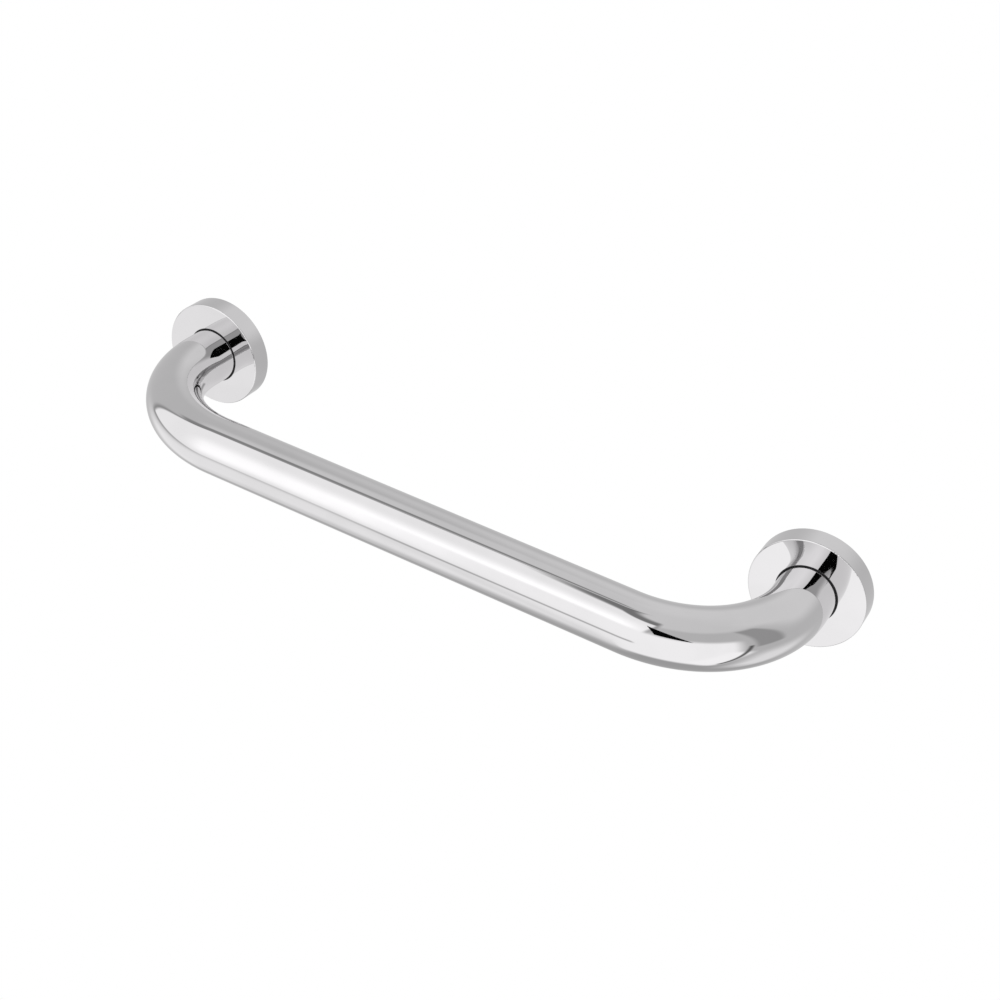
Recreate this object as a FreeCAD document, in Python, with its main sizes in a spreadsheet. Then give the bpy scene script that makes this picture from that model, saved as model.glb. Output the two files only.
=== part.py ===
import FreeCAD, Part
import math
import os
import sys

import Sketcher

# Straight wall-mounted grab rail: one bent stainless tube on two concealed screw flanges, each hidden by a
# drawn cover rose that can be drawn forward along the leg and turned.
#
# Frame: the wall is the plane Y = 0, the rail stands off towards -Y, +X runs along the rail and +Z is up.
# The origin is on the wall, midway between the two flange centres.  Millimetres.

V = FreeCAD.Vector
doc = FreeCAD.newDocument("grab_rail")

# ---------------------------------------------------------------------------------------------------------
# Driving dimensions
# ---------------------------------------------------------------------------------------------------------
DIMENSIONS = [
    # alias, value, meaning
    ("rail_centres", 300.0, "distance between the two flange centres"),
    ("rail_standoff", 70.0, "wall to the axis of the rail"),
    ("bend_radius", 51.5, "centreline radius of the two 90 degree bends"),
    ("tube_outer", 25.4, "outside diameter of the tube"),
    ("tube_wall", 1.2, "wall thickness of the tube"),
    ("flange_dia", 46.0, "screw flange diameter"),
    ("flange_thick", 3.0, "screw flange thickness"),
    ("flange_edge", 0.5, "chamfer on the front rim of the flange"),
    ("screw_circle", 38.5, "pitch circle of the wall screws"),
    ("screw_hole", 4.5, "diameter of a wall screw hole"),
    ("screw_count", 3.0, "wall screws in one flange"),
    ("weld_leg", 2.2, "leg of the fillet weld between tube and flange"),
    ("rose_dia", 50.0, "outside diameter of the cover rose"),
    ("rose_depth", 9.5, "wall to the front face of the cover rose"),
    ("rose_sheet", 1.0, "sheet thickness of the cover rose"),
    ("rose_bore", 26.5, "hole in the cover rose"),
    ("rose_edge", 0.5, "radius on the front edge of the cover rose"),
    ("rose_inner_edge", 0.4, "radius inside the front corner of the cover rose"),
    ("rose_bore_edge", 0.15, "radius at the mouth of the hole in the rose"),
    ("rose_rim_edge", 0.2, "radius on the rim that meets the wall"),
    ("ring_bore", 25.5, "inside diameter of the grip ring"),
    ("ring_lip", 26.4, "outside diameter of the lip of the grip ring"),
    ("ring_body", 31.0, "outside diameter of the grip ring behind the rose face"),
    ("ring_back", 6.0, "wall to the back of the grip ring"),
    ("ring_play", 0.1, "gap between the grip ring and the back of the rose face"),
    ("ring_recess", 0.15, "lip of the grip ring below the rose face"),
    ("ring_edge", 0.5, "radius on the back corners of the grip ring"),
]
sheet = doc.addObject("Spreadsheet::Sheet", "Dimensions")
for row, (alias, value, meaning) in enumerate(DIMENSIONS, start=1):
    sheet.set("A%d" % row, alias)
    sheet.set("B%d" % row, str(value))
    sheet.set("C%d" % row, meaning)
    sheet.setAlias("B%d" % row, alias)
doc.recompute()
D = {alias: float(getattr(sheet, alias)) for alias, _, _ in DIMENSIONS}


def cell(expression):
    """An expression in aliases, with each alias pointed at the sheet."""
    out = expression
    for alias in sorted(D, key=len, reverse=True):
        out = out.replace("<%s>" % alias, "Dimensions.%s" % alias)
    return out


def value(expression):
    out = expression
    for alias in sorted(D, key=len, reverse=True):
        out = out.replace("<%s>" % alias, "%r" % D[alias])
    # plain sums, differences, products and quotients of numbers
    total = FreeCAD.Units.Quantity(out)
    return float(total.Value)


# ---------------------------------------------------------------------------------------------------------
# Helpers
# ---------------------------------------------------------------------------------------------------------
def new_body(label):
    body = doc.addObject("PartDesign::Body", label)
    body.Label = label
    return body


def datum(body, role):
    return next(f for f in body.Origin.OriginFeatures if f.Role == role)


def new_sketch(body, name, role):
    sk = body.newObject("Sketcher::SketchObject", name)
    sk.AttachmentSupport = [(datum(body, role), "")]
    sk.MapMode = "FlatFace"
    return sk


def bind(sk, index, name, expression):
    sk.renameConstraint(index, name)
    sk.setExpression("Constraints.%s" % name, cell(expression))


def place_point(sk, geo, pos, name, across, depth):
    """Holds a sketch point at +across from the axis and depth in front of the wall (sketch y = -depth)."""
    i = sk.addConstraint(Sketcher.Constraint("DistanceX", -1, 1, geo, pos, value(across)))
    bind(sk, i, name + "_r", across)
    if depth is None:
        sk.addConstraint(Sketcher.Constraint("PointOnObject", geo, pos, -1))
    else:
        i = sk.addConstraint(Sketcher.Constraint("DistanceY", geo, pos, -1, 1, value(depth)))
        bind(sk, i, name + "_d", depth)


def half_section(sk, corners):
    """Closed polygon of (name, radius, depth) corners; depth None lies on the wall plane."""
    pts = [V(value(r), 0.0 if d is None else -value(d), 0) for _, r, d in corners]
    n = len(pts)
    for k in range(n):
        sk.addGeometry(Part.LineSegment(pts[k], pts[(k + 1) % n]), False)
    for k in range(n):
        sk.addConstraint(Sketcher.Constraint("Coincident", k, 2, (k + 1) % n, 1))
    for k, (name, r, d) in enumerate(corners):
        place_point(sk, k, 1, name, r, d)


def revolve(body, sk, name):
    rev = body.newObject("PartDesign::Revolution", name)
    rev.Profile = sk
    rev.ReferenceAxis = (sk, ["V_Axis"])
    rev.Angle = 360.0
    sk.Visibility = False
    doc.recompute()
    return rev


def circle_edges(feature, radius, y, tol=1e-3):
    """Names of the full circles of one radius about the Y axis at one height."""
    found = []
    for i, e in enumerate(feature.Shape.Edges, start=1):
        c = e.Curve
        if isinstance(c, Part.Circle) and abs(c.Radius - radius) < tol and abs(c.Center.y - y) < tol:
            if abs(c.Center.x) < tol and abs(c.Center.z) < tol:
                found.append("Edge%d" % i)
    if not found:
        raise RuntimeError("no edge of radius %.3f at y %.3f in %s" % (radius, y, feature.Name))
    return found


def round_edges(body, base, name, picks, expression):
    names = []
    for radius, y in picks:
        names += circle_edges(base, radius, y)
    fil = body.newObject("PartDesign::Fillet", name)
    fil.Base = (base, names)
    fil.Radius = value(expression)
    fil.setExpression("Radius", cell(expression))
    doc.recompute()
    return fil


def seat(body, side):
    """Puts a body made about the Y axis at its end of the rail."""
    sign = "-" if side == "left" else ""
    body.Placement = FreeCAD.Placement(V(value(sign + "<rail_centres>/2"), 0, 0), FreeCAD.Rotation())
    body.setExpression("Placement.Base.x", cell(sign + "<rail_centres>/2"))


# ---------------------------------------------------------------------------------------------------------
# Rail tube: a straight leg, a 90 degree bend, the straight bar, a second bend and the second leg, in one plane.
# Its ends butt on the front faces of the two flanges.
# ---------------------------------------------------------------------------------------------------------
def make_tube():
    body = new_body("rail_tube")
    half, off, rad = D["rail_centres"] / 2, D["rail_standoff"], D["bend_radius"]
    back = D["flange_thick"]
    path = new_sketch(body, "rail_centreline", "XY_Plane")
    a0, a1 = V(-half, -back, 0), V(-half, -(off - rad), 0)
    b0, b1 = V(-half + rad, -off, 0), V(half - rad, -off, 0)
    c0, c1 = V(half, -(off - rad), 0), V(half, -back, 0)
    cl, cr = V(-half + rad, -(off - rad), 0), V(half - rad, -(off - rad), 0)
    Z = V(0, 0, 1)
    path.addGeometry(Part.LineSegment(a0, a1), False)  # 0 left leg
    path.addGeometry(Part.ArcOfCircle(Part.Circle(cl, Z, rad), math.pi, 1.5 * math.pi), False)  # 1 left bend
    path.addGeometry(Part.LineSegment(b0, b1), False)  # 2 bar
    path.addGeometry(Part.ArcOfCircle(Part.Circle(cr, Z, rad), 1.5 * math.pi, 2 * math.pi), False)  # 3 right bend
    path.addGeometry(Part.LineSegment(c0, c1), False)  # 4 right leg
    C = Sketcher.Constraint
    path.addConstraint(C("Tangent", 0, 2, 1, 1))
    path.addConstraint(C("Tangent", 1, 2, 2, 1))
    path.addConstraint(C("Tangent", 2, 2, 3, 1))
    path.addConstraint(C("Tangent", 3, 2, 4, 1))
    path.addConstraint(C("Vertical", 0))
    path.addConstraint(C("Vertical", 4))
    path.addConstraint(C("Equal", 1, 3))
    bind(path, path.addConstraint(C("Radius", 1, rad)), "bend", "<bend_radius>")
    bind(path, path.addConstraint(C("DistanceX", 0, 1, 4, 2, 2 * half)), "centres", "<rail_centres>")
    bind(path, path.addConstraint(C("DistanceX", 0, 1, -1, 1, half)), "left_half", "<rail_centres>/2")
    bind(path, path.addConstraint(C("DistanceY", 0, 1, -1, 1, back)), "left_end", "<flange_thick>")
    bind(path, path.addConstraint(C("DistanceY", 4, 2, -1, 1, back)), "right_end", "<flange_thick>")
    bind(path, path.addConstraint(C("DistanceY", 2, 1, -1, 1, off)), "standoff", "<rail_standoff>")

    ring = new_sketch(body, "tube_section", "XZ_Plane")
    # the plane's normal is -Y or +Y by the origin's own turn, so the offset is set along it
    normal = datum(body, "XZ_Plane").Placement.Rotation.multVec(V(0, 0, 1))
    sign = "-" if normal.y > 0 else ""
    ring.AttachmentOffset = FreeCAD.Placement(V(0, 0, value(sign + "<flange_thick>")), FreeCAD.Rotation())
    ring.setExpression("AttachmentOffset.Base.z", cell(sign + "<flange_thick>"))
    doc.recompute()
    ring.addGeometry(Part.Circle(V(-half, 0, 0), Z, D["tube_outer"] / 2), False)
    ring.addGeometry(Part.Circle(V(-half, 0, 0), Z, D["tube_outer"] / 2 - D["tube_wall"]), False)
    ring.addConstraint(C("Coincident", 0, 3, 1, 3))
    ring.addConstraint(C("PointOnObject", 0, 3, -1))
    bind(ring, ring.addConstraint(C("DistanceX", 0, 3, -1, 1, half)), "leg_axis", "<rail_centres>/2")
    bind(ring, ring.addConstraint(C("Radius", 0, D["tube_outer"] / 2)), "outside", "<tube_outer>/2")
    bind(ring, ring.addConstraint(C("Radius", 1, D["tube_outer"] / 2 - D["tube_wall"])), "inside",
         "<tube_outer>/2 - <tube_wall>")
    doc.recompute()
    pipe = body.newObject("PartDesign::AdditivePipe", "bent_tube")
    pipe.Profile = ring
    pipe.Spine = (path, [])
    pipe.Mode = "Standard"
    pipe.Transition = "Transformed"
    path.Visibility = False
    ring.Visibility = False
    doc.recompute()
    body.Tip = pipe
    area = math.pi * ((D["tube_outer"] / 2) ** 2 - (D["tube_outer"] / 2 - D["tube_wall"]) ** 2)
    run = (2 * half - 2 * rad) + 2 * (off - rad - back) + math.pi * rad
    want = area * run
    got = body.Shape.Volume
    print("rail_tube volume %.1f, section times length %.1f" % (got, want))
    if abs(got / want - 1) > 0.002:
        raise RuntimeError("the tube's volume is off: %.1f against %.1f" % (got, want))
    return body


# ---------------------------------------------------------------------------------------------------------
# Screw flange: flat disc that closes the tube's end, with three screw holes, one of them straight up
# ---------------------------------------------------------------------------------------------------------
def make_flange(side):
    body = new_body(side + "_wall_flange")
    disc = new_sketch(body, side + "_flange_disc", "XZ_Plane")
    C = Sketcher.Constraint
    Z = V(0, 0, 1)
    disc.addGeometry(Part.Circle(V(0, 0, 0), Z, D["flange_dia"] / 2), False)
    disc.addConstraint(C("Coincident", 0, 3, -1, 1))
    bind(disc, disc.addConstraint(C("Radius", 0, D["flange_dia"] / 2)), "rim", "<flange_dia>/2")
    pad = body.newObject("PartDesign::Pad", side + "_flange_plate")
    pad.Profile = disc
    pad.Length = D["flange_thick"]
    pad.setExpression("Length", cell("<flange_thick>"))
    doc.recompute()
    if pad.Shape.BoundBox.YMax > 0.01:  # the plate belongs in front of the wall
        pad.Reversed = True
        doc.recompute()
    hole = new_sketch(body, side + "_screw_hole", "XZ_Plane")
    hole.addGeometry(Part.Circle(V(0, D["screw_circle"] / 2, 0), Z, D["screw_hole"] / 2), False)
    hole.addConstraint(C("PointOnObject", 0, 3, -2))
    bind(hole, hole.addConstraint(C("DistanceY", -1, 1, 0, 3, D["screw_circle"] / 2)), "pitch", "<screw_circle>/2")
    bind(hole, hole.addConstraint(C("Radius", 0, D["screw_hole"] / 2)), "drill", "<screw_hole>/2")
    doc.recompute()
    before = pad.Shape.Volume
    pocket = body.newObject("PartDesign::Pocket", side + "_screw_drill")
    pocket.Profile = hole
    pocket.Type = "ThroughAll"
    pocket.Midplane = True
    doc.recompute()
    each = math.pi * (D["screw_hole"] / 2) ** 2 * D["flange_thick"]
    if abs((before - pocket.Shape.Volume) / each - 1) > 0.01:
        raise RuntimeError("the screw hole cut nothing")
    pattern = body.newObject("PartDesign::PolarPattern", side + "_screw_circle")
    pattern.Originals = [pocket]
    pattern.Axis = (datum(body, "Y_Axis"), [""])
    pattern.Angle = 360.0
    pattern.Occurrences = int(D["screw_count"])
    pattern.setExpression("Occurrences", cell("<screw_count>"))
    doc.recompute()
    body.Tip = pattern
    if abs((before - pattern.Shape.Volume) / (each * D["screw_count"]) - 1) > 0.01:
        raise RuntimeError("the flange has the wrong number of screw holes")
    bevel = body.newObject("PartDesign::Chamfer", side + "_flange_bevel")
    bevel.Base = (pattern, circle_edges(pattern, D["flange_dia"] / 2, -D["flange_thick"]))
    bevel.Size = D["flange_edge"]
    bevel.setExpression("Size", cell("<flange_edge>"))
    doc.recompute()
    body.Tip = bevel
    seat(body, side)
    return body


# ---------------------------------------------------------------------------------------------------------
# Weld: a hollow-faced fillet bead round the tube where it leaves the front of the flange
# ---------------------------------------------------------------------------------------------------------
def make_weld(side):
    body = new_body(side + "_flange_weld")
    sk = new_sketch(body, side + "_weld_section", "XY_Plane")
    r0, y0, leg = D["tube_outer"] / 2, D["flange_thick"], D["weld_leg"]
    root, toe, top = V(r0, -y0, 0), V(r0 + leg, -y0, 0), V(r0, -y0 - leg, 0)
    centre = V(r0 + leg * 1.25, -y0 - leg * 1.25, 0)
    radius = (toe - centre).Length
    a_top = math.atan2(top.y - centre.y, top.x - centre.x)
    a_toe = math.atan2(toe.y - centre.y, toe.x - centre.x)
    if a_top < 0:
        a_top += 2 * math.pi
    if a_toe < 0:
        a_toe += 2 * math.pi
    first, last = sorted((a_top, a_toe))
    sk.addGeometry(Part.LineSegment(root, toe), False)  # 0 along the flange
    sk.addGeometry(Part.ArcOfCircle(Part.Circle(centre, V(0, 0, 1), radius), first, last), False)  # 1 hollow face
    sk.addGeometry(Part.LineSegment(top, root), False)  # 2 along the tube
    arc = sk.Geometry[1]
    toe_pos = 1 if (arc.StartPoint - toe).Length < 1e-6 else 2
    top_pos = 3 - toe_pos
    C = Sketcher.Constraint
    sk.addConstraint(C("Coincident", 0, 2, 1, toe_pos))
    sk.addConstraint(C("Coincident", 1, top_pos, 2, 1))
    sk.addConstraint(C("Coincident", 2, 2, 0, 1))
    place_point(sk, 0, 1, "root", "<tube_outer>/2", "<flange_thick>")
    place_point(sk, 0, 2, "toe", "<tube_outer>/2 + <weld_leg>", "<flange_thick>")
    place_point(sk, 2, 1, "top", "<tube_outer>/2", "<flange_thick> + <weld_leg>")
    i = sk.addConstraint(C("DistanceX", -1, 1, 1, 3, centre.x))
    bind(sk, i, "hollow", "<tube_outer>/2 + <weld_leg> * 1.25")
    doc.recompute()
    rev = revolve(body, sk, side + "_weld_bead")
    body.Tip = rev
    seat(body, side)
    return body


# ---------------------------------------------------------------------------------------------------------
# Cover rose: a drawn cup, flat face forward, its rim on the wall, with a close hole for the tube
# ---------------------------------------------------------------------------------------------------------
def make_rose(side):
    body = new_body(side + "_cover_rose")
    sk = new_sketch(body, side + "_rose_section", "XY_Plane")
    half_section(sk, [
        ("rim_out", "<rose_dia>/2", None),
        ("face_out", "<rose_dia>/2", "<rose_depth>"),
        ("bore_front", "<rose_bore>/2", "<rose_depth>"),
        ("bore_back", "<rose_bore>/2", "<rose_depth> - <rose_sheet>"),
        ("corner_in", "<rose_dia>/2 - <rose_sheet>", "<rose_depth> - <rose_sheet>"),
        ("rim_in", "<rose_dia>/2 - <rose_sheet>", None),
    ])
    doc.recompute()
    cup = revolve(body, sk, side + "_rose_cup")
    ro, ri, rb = D["rose_dia"] / 2, D["rose_dia"] / 2 - D["rose_sheet"], D["rose_bore"] / 2
    front, back = -D["rose_depth"], -(D["rose_depth"] - D["rose_sheet"])
    f = round_edges(body, cup, side + "_rose_edge", [(ro, front)], "<rose_edge>")
    f = round_edges(body, f, side + "_rose_inner_edge", [(ri, back)], "<rose_inner_edge>")
    f = round_edges(body, f, side + "_rose_bore_edge", [(rb, front)], "<rose_bore_edge>")
    f = round_edges(body, f, side + "_rose_rim_edge", [(ro, 0.0)], "<rose_rim_edge>")
    body.Tip = f
    seat(body, side)
    return body


# ---------------------------------------------------------------------------------------------------------
# Grip ring: a rubber ring on the leg, its body behind the rose's face and its thin lip in the rose's hole
# ---------------------------------------------------------------------------------------------------------
def make_grip_ring(side):
    body = new_body(side + "_grip_ring")
    sk = new_sketch(body, side + "_ring_section", "XY_Plane")
    behind = "<rose_depth> - <rose_sheet> - <ring_play>"
    half_section(sk, [
        ("back_in", "<ring_bore>/2", "<ring_back>"),
        ("back_out", "<ring_body>/2", "<ring_back>"),
        ("step_out", "<ring_body>/2", behind),
        ("step_in", "<ring_lip>/2", behind),
        ("lip_out", "<ring_lip>/2", "<rose_depth> - <ring_recess>"),
        ("lip_in", "<ring_bore>/2", "<rose_depth> - <ring_recess>"),
    ])
    doc.recompute()
    ring = revolve(body, sk, side + "_ring_turned")
    f = round_edges(body, ring, side + "_ring_edge", [(D["ring_body"] / 2, -D["ring_back"])], "<ring_edge>")
    body.Tip = f
    seat(body, side)
    return body


bodies = [make_tube()]
for side in ("left", "right"):
    bodies.append(make_flange(side))
    bodies.append(make_weld(side))
    bodies.append(make_grip_ring(side))
    bodies.append(make_rose(side))
doc.recompute()

# ---------------------------------------------------------------------------------------------------------
# Checks, then one file per piece
# ---------------------------------------------------------------------------------------------------------
bad = []
for obj in doc.Objects:
    if any(word in obj.State for word in ("Invalid", "Error")):
        bad.append("%s: %s" % (obj.Label, obj.State))
for body in bodies:
    shape = body.Shape
    if shape.isNull() or not shape.isValid() or len(shape.Solids) != 1:
        bad.append("%s: shape null, invalid or not one solid" % body.Label)
for obj in doc.Objects:
    if obj.TypeId == "Sketcher::SketchObject" and obj.solve() != 0:
        bad.append("%s: sketch does not solve" % obj.Label)
if bad:
    print("\n".join(bad))
    sys.exit(1)

os.makedirs("parts", exist_ok=True)
for body in bodies:
    body.Shape.exportStep("parts/%s.step" % body.Label)
    bb = body.Shape.BoundBox
    print("%-20s %9.1f mm3  x %8.2f %8.2f  y %7.2f %7.2f  z %7.2f %7.2f" % (
        body.Label, body.Shape.Volume, bb.XMin, bb.XMax, bb.YMin, bb.YMax, bb.ZMin, bb.ZMax))
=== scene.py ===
import math

import bmesh
import bpy
from mathutils import Matrix, Vector


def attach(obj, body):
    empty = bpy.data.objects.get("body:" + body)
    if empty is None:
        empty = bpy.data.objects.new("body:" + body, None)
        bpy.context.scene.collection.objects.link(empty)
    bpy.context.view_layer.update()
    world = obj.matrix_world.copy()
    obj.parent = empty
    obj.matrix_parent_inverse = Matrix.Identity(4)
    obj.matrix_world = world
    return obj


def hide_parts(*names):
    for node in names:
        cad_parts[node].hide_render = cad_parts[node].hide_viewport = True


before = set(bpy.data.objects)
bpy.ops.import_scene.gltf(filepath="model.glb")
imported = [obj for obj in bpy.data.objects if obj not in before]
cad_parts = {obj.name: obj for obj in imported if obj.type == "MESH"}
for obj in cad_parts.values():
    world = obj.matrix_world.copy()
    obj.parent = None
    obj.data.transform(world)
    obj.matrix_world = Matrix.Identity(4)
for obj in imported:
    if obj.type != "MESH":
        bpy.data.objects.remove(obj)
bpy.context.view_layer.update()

scene = bpy.context.scene
scene.view_settings.view_transform = "Standard"
scene.view_settings.look = "None"
scene.view_settings.exposure = 0.0
scene.view_settings.gamma = 1.0

# ---------------------------------------------------------------- camera
EYE = Vector((0.25375708, -0.51506626, 0.36892573))
right = Vector((0.86284198, 0.49509635, 0.10189858))
up = Vector((-0.35502701, 0.4500927, 0.81937316))
back = Vector((0.35980485, -0.74316631, 0.56413146))
cam_data = bpy.data.cameras.new("camera")
cam = bpy.data.objects.new("camera", cam_data)
scene.collection.objects.link(cam)
cam.matrix_world = Matrix((
    (right.x, up.x, back.x, EYE.x),
    (right.y, up.y, back.y, EYE.y),
    (right.z, up.z, back.z, EYE.z),
    (0, 0, 0, 1),
))
cam_data.sensor_fit = "HORIZONTAL"
cam_data.sensor_width = 36.0
cam_data.lens = 55.543
cam_data.clip_start = 0.02
cam_data.clip_end = 60.0
cam_data.dof.use_dof = False
scene.camera = cam


# ---------------------------------------------------------------- node helpers
class Graph:
    """Short names for the shader nodes used below."""

    def __init__(self, tree):
        self.tree = tree
        self.n = tree.nodes
        self.l = tree.links
        self.n.clear()

    def add(self, kind, **settings):
        node = self.n.new(kind)
        for k, v in settings.items():
            setattr(node, k, v)
        return node

    def plug(self, value, socket):
        if isinstance(value, bpy.types.NodeSocket):
            self.l.new(value, socket)
        else:
            socket.default_value = value

    def math(self, op, a, b=None, c=None, clamp=False):
        node = self.add("ShaderNodeMath", operation=op, use_clamp=clamp)
        for i, v in enumerate((a, b, c)):
            if v is not None:
                self.plug(v, node.inputs[i])
        return node.outputs[0]

    def step(self, x, lo, hi, out_lo=0.0, out_hi=1.0, kind="SMOOTHSTEP"):
        node = self.add("ShaderNodeMapRange", interpolation_type=kind)
        self.plug(x, node.inputs["Value"])
        node.inputs["From Min"].default_value = lo
        node.inputs["From Max"].default_value = hi
        node.inputs["To Min"].default_value = out_lo
        node.inputs["To Max"].default_value = out_hi
        return node.outputs["Result"]

    def mix(self, fac, a, b):
        node = self.add("ShaderNodeMix", data_type="FLOAT", clamp_factor=True)
        self.plug(fac, node.inputs[0])
        self.plug(a, node.inputs[2])
        self.plug(b, node.inputs[3])
        return node.outputs[0]

    def mix_color(self, fac, a, b, blend="MIX"):
        node = self.add("ShaderNodeMix", data_type="RGBA", blend_type=blend, clamp_factor=True)
        self.plug(fac, node.inputs[0])
        self.plug(a, node.inputs[6])
        self.plug(b, node.inputs[7])
        return node.outputs[2]

    def noise(self, vector, scale, detail=2.0, rough=0.5, kind="FBM", lac=2.0, distortion=0.0):
        node = self.add("ShaderNodeTexNoise", noise_dimensions="3D")
        node.noise_type = kind
        self.plug(vector, node.inputs["Vector"])
        node.inputs["Scale"].default_value = scale
        node.inputs["Detail"].default_value = detail
        node.inputs["Roughness"].default_value = rough
        node.inputs["Lacunarity"].default_value = lac
        node.inputs["Distortion"].default_value = distortion
        return node.outputs["Fac"]

    def scaled(self, vector, scale, location=(0, 0, 0)):
        node = self.add("ShaderNodeMapping")
        self.plug(vector, node.inputs["Vector"])
        node.inputs["Scale"].default_value = scale
        node.inputs["Location"].default_value = location
        return node.outputs["Vector"]

    def bump(self, height, strength, distance, normal=None):
        node = self.add("ShaderNodeBump")
        node.inputs["Strength"].default_value = strength
        node.inputs["Distance"].default_value = distance
        self.plug(height, node.inputs["Height"])
        if normal is not None:
            self.plug(normal, node.inputs["Normal"])
        return node.outputs["Normal"]


# ---------------------------------------------------------------- studio light
# A plain studio: a grey room, soft boxes, the main one with a dark rim and a brighter part, and darker gaps.
# Each is given by its direction from the rail (azimuth 0 is towards -Y, positive towards +X; elevation above
# the horizon), its width, height and turn in degrees, the softness of its edges and how light it is.
ROOM = 0.69
CARDS = [
    # name, azimuth, elevation, width, height, turn, softness, level
    ("ceiling", 0, 80, 360, 50, 0, 10, 0.76),
    ("ground", 0, -80, 360, 50, 0, 30, 0.60),
    ("wall_back", 160, 45, 100, 50, 0, 30, 0.78),
    ("low_right", 105, -45, 40, 40, 0, 25, 0.85),
    ("gap_top", -88, 60, 15, 35, 20, 8, 0.50),
    ("key_rim", -40, 28, 88, 96, -10, 8, 0.45),
    ("key_box", -40, 25, 84, 80, -10, 4, 0.90),
    ("key_centre", -20, 15, 35, 50, 0, 35, 1.04),
    ("fill_box", 22, -20, 94, 88, 0, 12, 0.93),
    ("low_box", -60, -40, 80, 50, 0, 30, 0.88),
    ("strip_box", 60, -35, 20, 50, -25, 10, 0.95),
    ("gap_low", -15, -22, 25, 5, 0, 5, 0.65),
    ("gap_far", 90, 25, 20, 55, 0, 6, 0.56),
    ("gap_right", 72, -25, 3, 60, -8, 3, 0.35),
]
STEEL = 0.64  # share of the light that polished steel sends back


def studio():
    world = bpy.data.worlds.new("studio")
    scene.world = world
    world.use_nodes = True
    g = Graph(world.node_tree)
    out = g.add("ShaderNodeOutputWorld")
    coord = g.add("ShaderNodeTexCoord").outputs["Generated"]
    sep = g.add("ShaderNodeSeparateXYZ")
    g.plug(coord, sep.inputs[0])
    x, y, z = sep.outputs
    az = g.math("MULTIPLY", g.math("ARCTAN2", x, g.math("MULTIPLY", y, -1.0)), 180 / math.pi)
    el = g.math("MULTIPLY", g.math("ARCSINE", z), 180 / math.pi)
    level = ROOM
    for name, a, e, w, h, turn, soft, value in CARDS:
        v = g.math("SUBTRACT", el, float(e))
        u = None
        if w < 360:
            u = g.math("WRAP", g.math("SUBTRACT", az, float(a)), 180.0, -180.0)
            if turn:
                c, s = math.cos(math.radians(turn)), math.sin(math.radians(turn))
                u, v = (
                    g.math("ADD", g.math("MULTIPLY", u, c), g.math("MULTIPLY", v, s)),
                    g.math("SUBTRACT", g.math("MULTIPLY", v, c), g.math("MULTIPLY", u, s)),
                )
        mask = g.math("MULTIPLY", g.step(v, -(h + soft) / 2, -(h - soft) / 2),
                      g.step(v, (h - soft) / 2, (h + soft) / 2, 1.0, 0.0))
        if u is not None:
            lo, hi = (w - soft) / 2, (w + soft) / 2
            mask = g.math("MULTIPLY", mask, g.step(u, -hi, -lo))
            mask = g.math("MULTIPLY", mask, g.step(u, lo, hi, 1.0, 0.0))
        level = g.mix(mask, level, value)
    level = g.math("MAXIMUM", level, 0.0)
    strength = g.math("MULTIPLY", g.math("POWER", level, 2.25), 1.0 / STEEL)
    light = g.add("ShaderNodeBackground")
    light.inputs["Color"].default_value = (1.0, 0.995, 1.0, 1.0)
    g.plug(strength, light.inputs["Strength"])
    pale = g.add("ShaderNodeBackground")
    pale.inputs["Color"].default_value = (1.0, 1.0, 1.0, 1.0)
    pale.inputs["Strength"].default_value = 1.0
    path = g.add("ShaderNodeLightPath")
    pick = g.add("ShaderNodeMixShader")
    g.plug(path.outputs["Is Camera Ray"], pick.inputs[0])
    g.plug(light.outputs[0], pick.inputs[1])
    g.plug(pale.outputs[0], pick.inputs[2])
    g.plug(pick.outputs[0], out.inputs["Surface"])
    world.cycles.sampling_method = "MANUAL"
    world.cycles.sample_map_resolution = 1024


studio()


def plain(name, make):
    mat = bpy.data.materials.new(name)
    mat.use_nodes = True
    g = Graph(mat.node_tree)
    make(g, g.add("ShaderNodeOutputMaterial"))
    return mat


def floor_look(g, out):
    glow = g.add("ShaderNodeEmission")
    glow.inputs["Color"].default_value = (1.0, 1.0, 1.0, 1.0)
    glow.inputs["Strength"].default_value = 1.0
    g.plug(glow.outputs[0], out.inputs["Surface"])


def disc(name, radius, z, sides=96):
    bm = bmesh.new()
    bmesh.ops.create_circle(bm, cap_ends=True, segments=sides, radius=radius)
    mesh = bpy.data.meshes.new(name)
    bm.to_mesh(mesh)
    bm.free()
    o = bpy.data.objects.new(name, mesh)
    o.location = (0, 0, z)
    scene.collection.objects.link(o)
    return o


floor = disc("floor", 9.0, -1.2)
floor.data.materials.append(plain("pale_floor", floor_look))
floor.visible_glossy = False
floor.visible_diffuse = False
floor.visible_shadow = False


# The dark camera and its operator, which show as a small dark patch in the polished bends.
def black_look(g, out):
    bsdf = g.add("ShaderNodeBsdfPrincipled")
    bsdf.inputs["Base Color"].default_value = (0.004, 0.004, 0.004, 1)
    bsdf.inputs["Roughness"].default_value = 1.0
    bsdf.inputs["Specular IOR Level"].default_value = 0.0
    g.plug(bsdf.outputs[0], out.inputs["Surface"])


def flag(name, points):
    mesh = bpy.data.meshes.new(name)
    mesh.from_pydata([tuple(p) for p in points], [], [list(range(len(points)))])
    mesh.update()
    o = bpy.data.objects.new(name, mesh)
    scene.collection.objects.link(o)
    o.visible_camera = False
    o.data.materials.append(plain(name, black_look))
    return o


flag("camera_flag", [EYE + right * (u / 1000) + up * (v / 1000) for u, v in ((-95, 155), (-95, -100), (170, -195))])


# ---------------------------------------------------------------- sizes, as in the CAD
RAIL_HALF = 0.150      # half the distance between the leg centres
STANDOFF = 0.070       # wall to the bar's centre line
BEND = 0.0515          # bend radius on the centre line
TUBE_R = 0.0127
TUBE_BORE = 0.0115
TUBE_END = 0.003       # the legs end on the flanges


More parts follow.
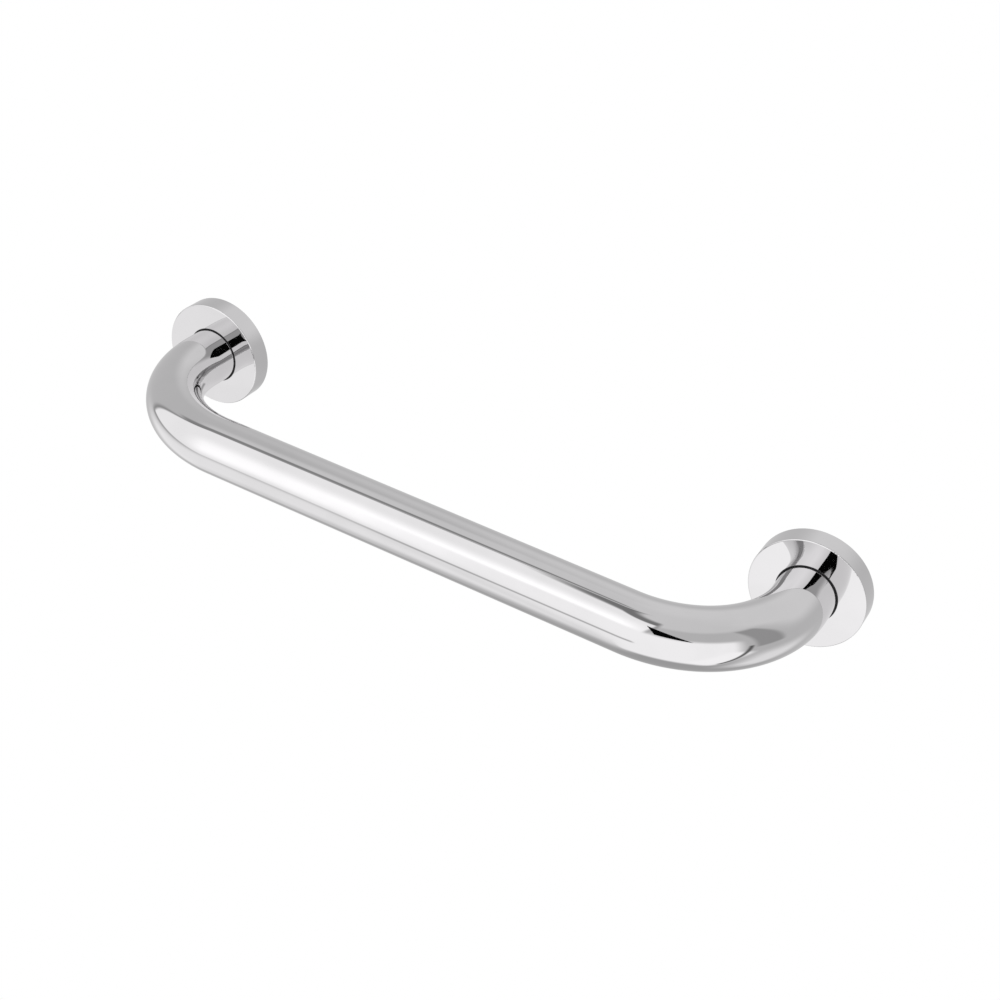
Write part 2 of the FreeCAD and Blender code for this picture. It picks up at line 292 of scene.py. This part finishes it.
# ---------------------------------------------------------------- materials
def steel(name, color, rough, spread, line_axis, line_strength, tone=0.965, line_depth=0.000004):
    """Buffed steel: near-mirror, with faint polishing lines, a cloudy variation in the gloss and light wear."""

    def make(g, out):
        bsdf = g.add("ShaderNodeBsdfPrincipled")
        pos = g.add("ShaderNodeTexCoord").outputs["Object"]
        cloud = g.noise(pos, 38.0, 4.0, 0.55)
        fine = g.noise(pos, 420.0, 3.0, 0.6)
        grain, stretch = pos, (900, 900, 900)
        if line_axis == "along":  # along the tube, round the bends
            grain = g.add("ShaderNodeAttribute", attribute_type="GEOMETRY", attribute_name="along").outputs["Vector"]
            stretch = (25, 900, 900)
        elif line_axis == "turned":  # rings round the leg's axis, left by turning the plate
            part = g.add("ShaderNodeSeparateXYZ")
            g.plug(pos, part.inputs[0])
            x = g.math("SUBTRACT", g.math("ABSOLUTE", part.outputs[0]), RAIL_HALF)
            r = g.math("SQRT", g.math("ADD", g.math("MULTIPLY", x, x), g.math("MULTIPLY", part.outputs[2], part.outputs[2])))
            ring = g.add("ShaderNodeCombineXYZ")
            g.plug(r, ring.inputs[0])
            g.plug(g.math("MULTIPLY", part.outputs[0], 0.01), ring.inputs[1])
            grain, stretch = ring.outputs[0], (2600, 900, 900)
        lines = g.noise(g.scaled(grain, stretch), 1.0, 3.0, 0.65)
        spots = g.step(g.noise(pos, 160.0, 2.0, 0.5), 0.66, 0.74)
        rough_value = g.step(cloud, 0.30, 0.72, rough, rough + spread)
        rough_value = g.math("MULTIPLY_ADD", fine, spread * 0.35, rough_value)
        rough_value = g.math("MULTIPLY_ADD", spots, spread * 0.6, rough_value)
        g.plug(rough_value, bsdf.inputs["Roughness"])
        dark = tuple(c * tone for c in color)
        tint = g.mix_color(g.step(cloud, 0.35, 0.7), (*color, 1), (*dark, 1))
        g.plug(tint, bsdf.inputs["Base Color"])
        bsdf.inputs["Metallic"].default_value = 1.0
        n = g.bump(lines, line_strength, line_depth)
        n = g.bump(cloud, 0.10, 0.00003, n)
        g.plug(n, bsdf.inputs["Normal"])
        g.plug(bsdf.outputs[0], out.inputs["Surface"])

    return plain(name, make)


def weld_look(g, out):
    bsdf = g.add("ShaderNodeBsdfPrincipled")
    pos = g.add("ShaderNodeTexCoord").outputs["Object"]
    cloud = g.noise(pos, 180.0, 3.0, 0.6)
    ramp = g.add("ShaderNodeValToRGB")
    ramp.color_ramp.elements[0].position = 0.35
    ramp.color_ramp.elements[0].color = (0.44, 0.41, 0.37, 1)
    ramp.color_ramp.elements[1].position = 0.70
    ramp.color_ramp.elements[1].color = (0.30, 0.27, 0.30, 1)
    mid = ramp.color_ramp.elements.new(0.52)
    mid.color = (0.48, 0.38, 0.26, 1)
    g.plug(cloud, ramp.inputs[0])
    g.plug(ramp.outputs[0], bsdf.inputs["Base Color"])
    bsdf.inputs["Metallic"].default_value = 1.0
    g.plug(g.step(cloud, 0.3, 0.7, 0.28, 0.48), bsdf.inputs["Roughness"])
    g.plug(g.bump(g.noise(pos, 900.0, 2.0, 0.5), 0.4, 0.00015), bsdf.inputs["Normal"])
    g.plug(bsdf.outputs[0], out.inputs["Surface"])


def rubber_look(g, out):
    bsdf = g.add("ShaderNodeBsdfPrincipled")
    pos = g.add("ShaderNodeTexCoord").outputs["Object"]
    grain = g.noise(pos, 1400.0, 3.0, 0.6)
    cloud = g.noise(pos, 90.0, 3.0, 0.5)
    g.plug(g.mix_color(cloud, (0.010, 0.010, 0.011, 1), (0.022, 0.022, 0.023, 1)), bsdf.inputs["Base Color"])
    g.plug(g.step(grain, 0.3, 0.7, 0.62, 0.82), bsdf.inputs["Roughness"])
    bsdf.inputs["Specular IOR Level"].default_value = 0.35
    g.plug(g.bump(grain, 0.35, 0.00005), bsdf.inputs["Normal"])
    g.plug(bsdf.outputs[0], out.inputs["Surface"])


tube_steel = steel("polished_steel", (0.640, 0.635, 0.640), 0.012, 0.020, "along", 0.14)
rose_steel = steel("rose_steel", (0.645, 0.640, 0.645), 0.012, 0.016, "r", 0.03)
flange_steel = steel("flange_steel", (0.60, 0.59, 0.59), 0.26, 0.20, "turned", 0.6, tone=0.80, line_depth=0.00006)
weld_metal = plain("weld_metal", weld_look)
rubber = plain("black_rubber", rubber_look)

LOOKS = {
    "rail_tube": tube_steel,
    "left_wall_flange": flange_steel, "right_wall_flange": flange_steel,
    "left_flange_weld": weld_metal, "right_flange_weld": weld_metal,
    "left_grip_ring": rubber, "right_grip_ring": rubber,
    "left_cover_rose": rose_steel, "right_cover_rose": rose_steel,
}
for name, mat in LOOKS.items():
    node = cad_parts[name]
    node.data.materials.clear()
    node.data.materials.append(mat)

# ---------------------------------------------------------------- the rail tube
# The CAD tube's own shape with a finer skin, so that the mirror polish shows no facets: two legs, two bends and
# the bar, outside, inside and the two cut ends.

def rail_path(leg_steps, bend_steps, bar_steps):
    """Stations along the centre line: (point, outward direction in the rail's plane, distance along)."""
    out = []
    leg, arc, bar = STANDOFF - BEND - TUBE_END, BEND * math.pi / 2, 2 * (RAIL_HALF - BEND)
    for i in range(leg_steps):
        t = i / leg_steps
        out.append(((-RAIL_HALF, -TUBE_END - t * leg), (-1.0, 0.0), t * leg))
    for i in range(bend_steps):
        a = math.pi / 2 * i / bend_steps
        out.append(((-RAIL_HALF + BEND * (1 - math.cos(a)), -(STANDOFF - BEND) - BEND * math.sin(a)),
                    (-math.cos(a), -math.sin(a)), leg + BEND * a))
    for i in range(bar_steps):
        t = i / bar_steps
        out.append(((-RAIL_HALF + BEND + t * bar, -STANDOFF), (0.0, -1.0), leg + arc + t * bar))
    for i in range(bend_steps):
        a = math.pi / 2 * i / bend_steps
        out.append(((RAIL_HALF - BEND + BEND * math.sin(a), -STANDOFF + BEND * (1 - math.cos(a))),
                    (math.sin(a), -math.cos(a)), leg + arc + bar + BEND * a))
    for i in range(leg_steps + 1):
        t = i / leg_steps
        out.append(((RAIL_HALF, -(STANDOFF - BEND) + t * leg), (1.0, 0.0), leg + 2 * arc + bar + t * leg))
    return out


def make_tube(name, sides=144):
    verts, faces, coords = [], [], []

    def skin(stations, radius, inward):
        first = len(verts)
        for (x, y), (nx, ny), s in stations:
            for k in range(sides):
                a = 2 * math.pi * k / sides
                c, d = math.cos(a) * radius, math.sin(a) * radius
                verts.append((x + nx * c, y + ny * c, d))
                coords.append((s, c, d))  # the tube as if it were straight
        for i in range(len(stations) - 1):
            for k in range(sides):
                p, q = first + i * sides + k, first + i * sides + (k + 1) % sides
                quad = (p, q, q + sides, p + sides)
                faces.append(quad if inward else quad[::-1])
        return first, first + (len(stations) - 1) * sides

    o0, o1 = skin(rail_path(12, 90, 48), TUBE_R, False)
    i0, i1 = skin(rail_path(4, 30, 12), TUBE_BORE, True)
    for k in range(sides):
        m = (k + 1) % sides
        faces.append((o0 + k, o0 + m, i0 + m, i0 + k))
        faces.append((o1 + m, o1 + k, i1 + k, i1 + m))
    mesh = bpy.data.meshes.new(name)
    mesh.from_pydata(verts, [], faces)
    bm = bmesh.new()
    bm.from_mesh(mesh)
    bmesh.ops.recalc_face_normals(bm, faces=bm.faces)
    bm.to_mesh(mesh)
    bm.free()
    along = mesh.attributes.new("along", "FLOAT_VECTOR", "POINT")
    along.data.foreach_set("vector", [v for c in coords for v in c])
    mesh.polygons.foreach_set("use_smooth", [True] * len(mesh.polygons))
    rings = ((o0, o0 + sides), (o1, o1 + sides), (i0, i0 + sides), (i1, i1 + sides))
    for e in mesh.edges:
        a, b = e.vertices
        if any(lo <= a < hi and lo <= b < hi for lo, hi in rings):
            e.use_edge_sharp = True
    mesh.update()
    o = bpy.data.objects.new(name, mesh)
    scene.collection.objects.link(o)
    return o


tube = make_tube("polished_rail_tube")
tube.data.materials.append(tube_steel)
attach(tube, "rail")
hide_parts("rail_tube")
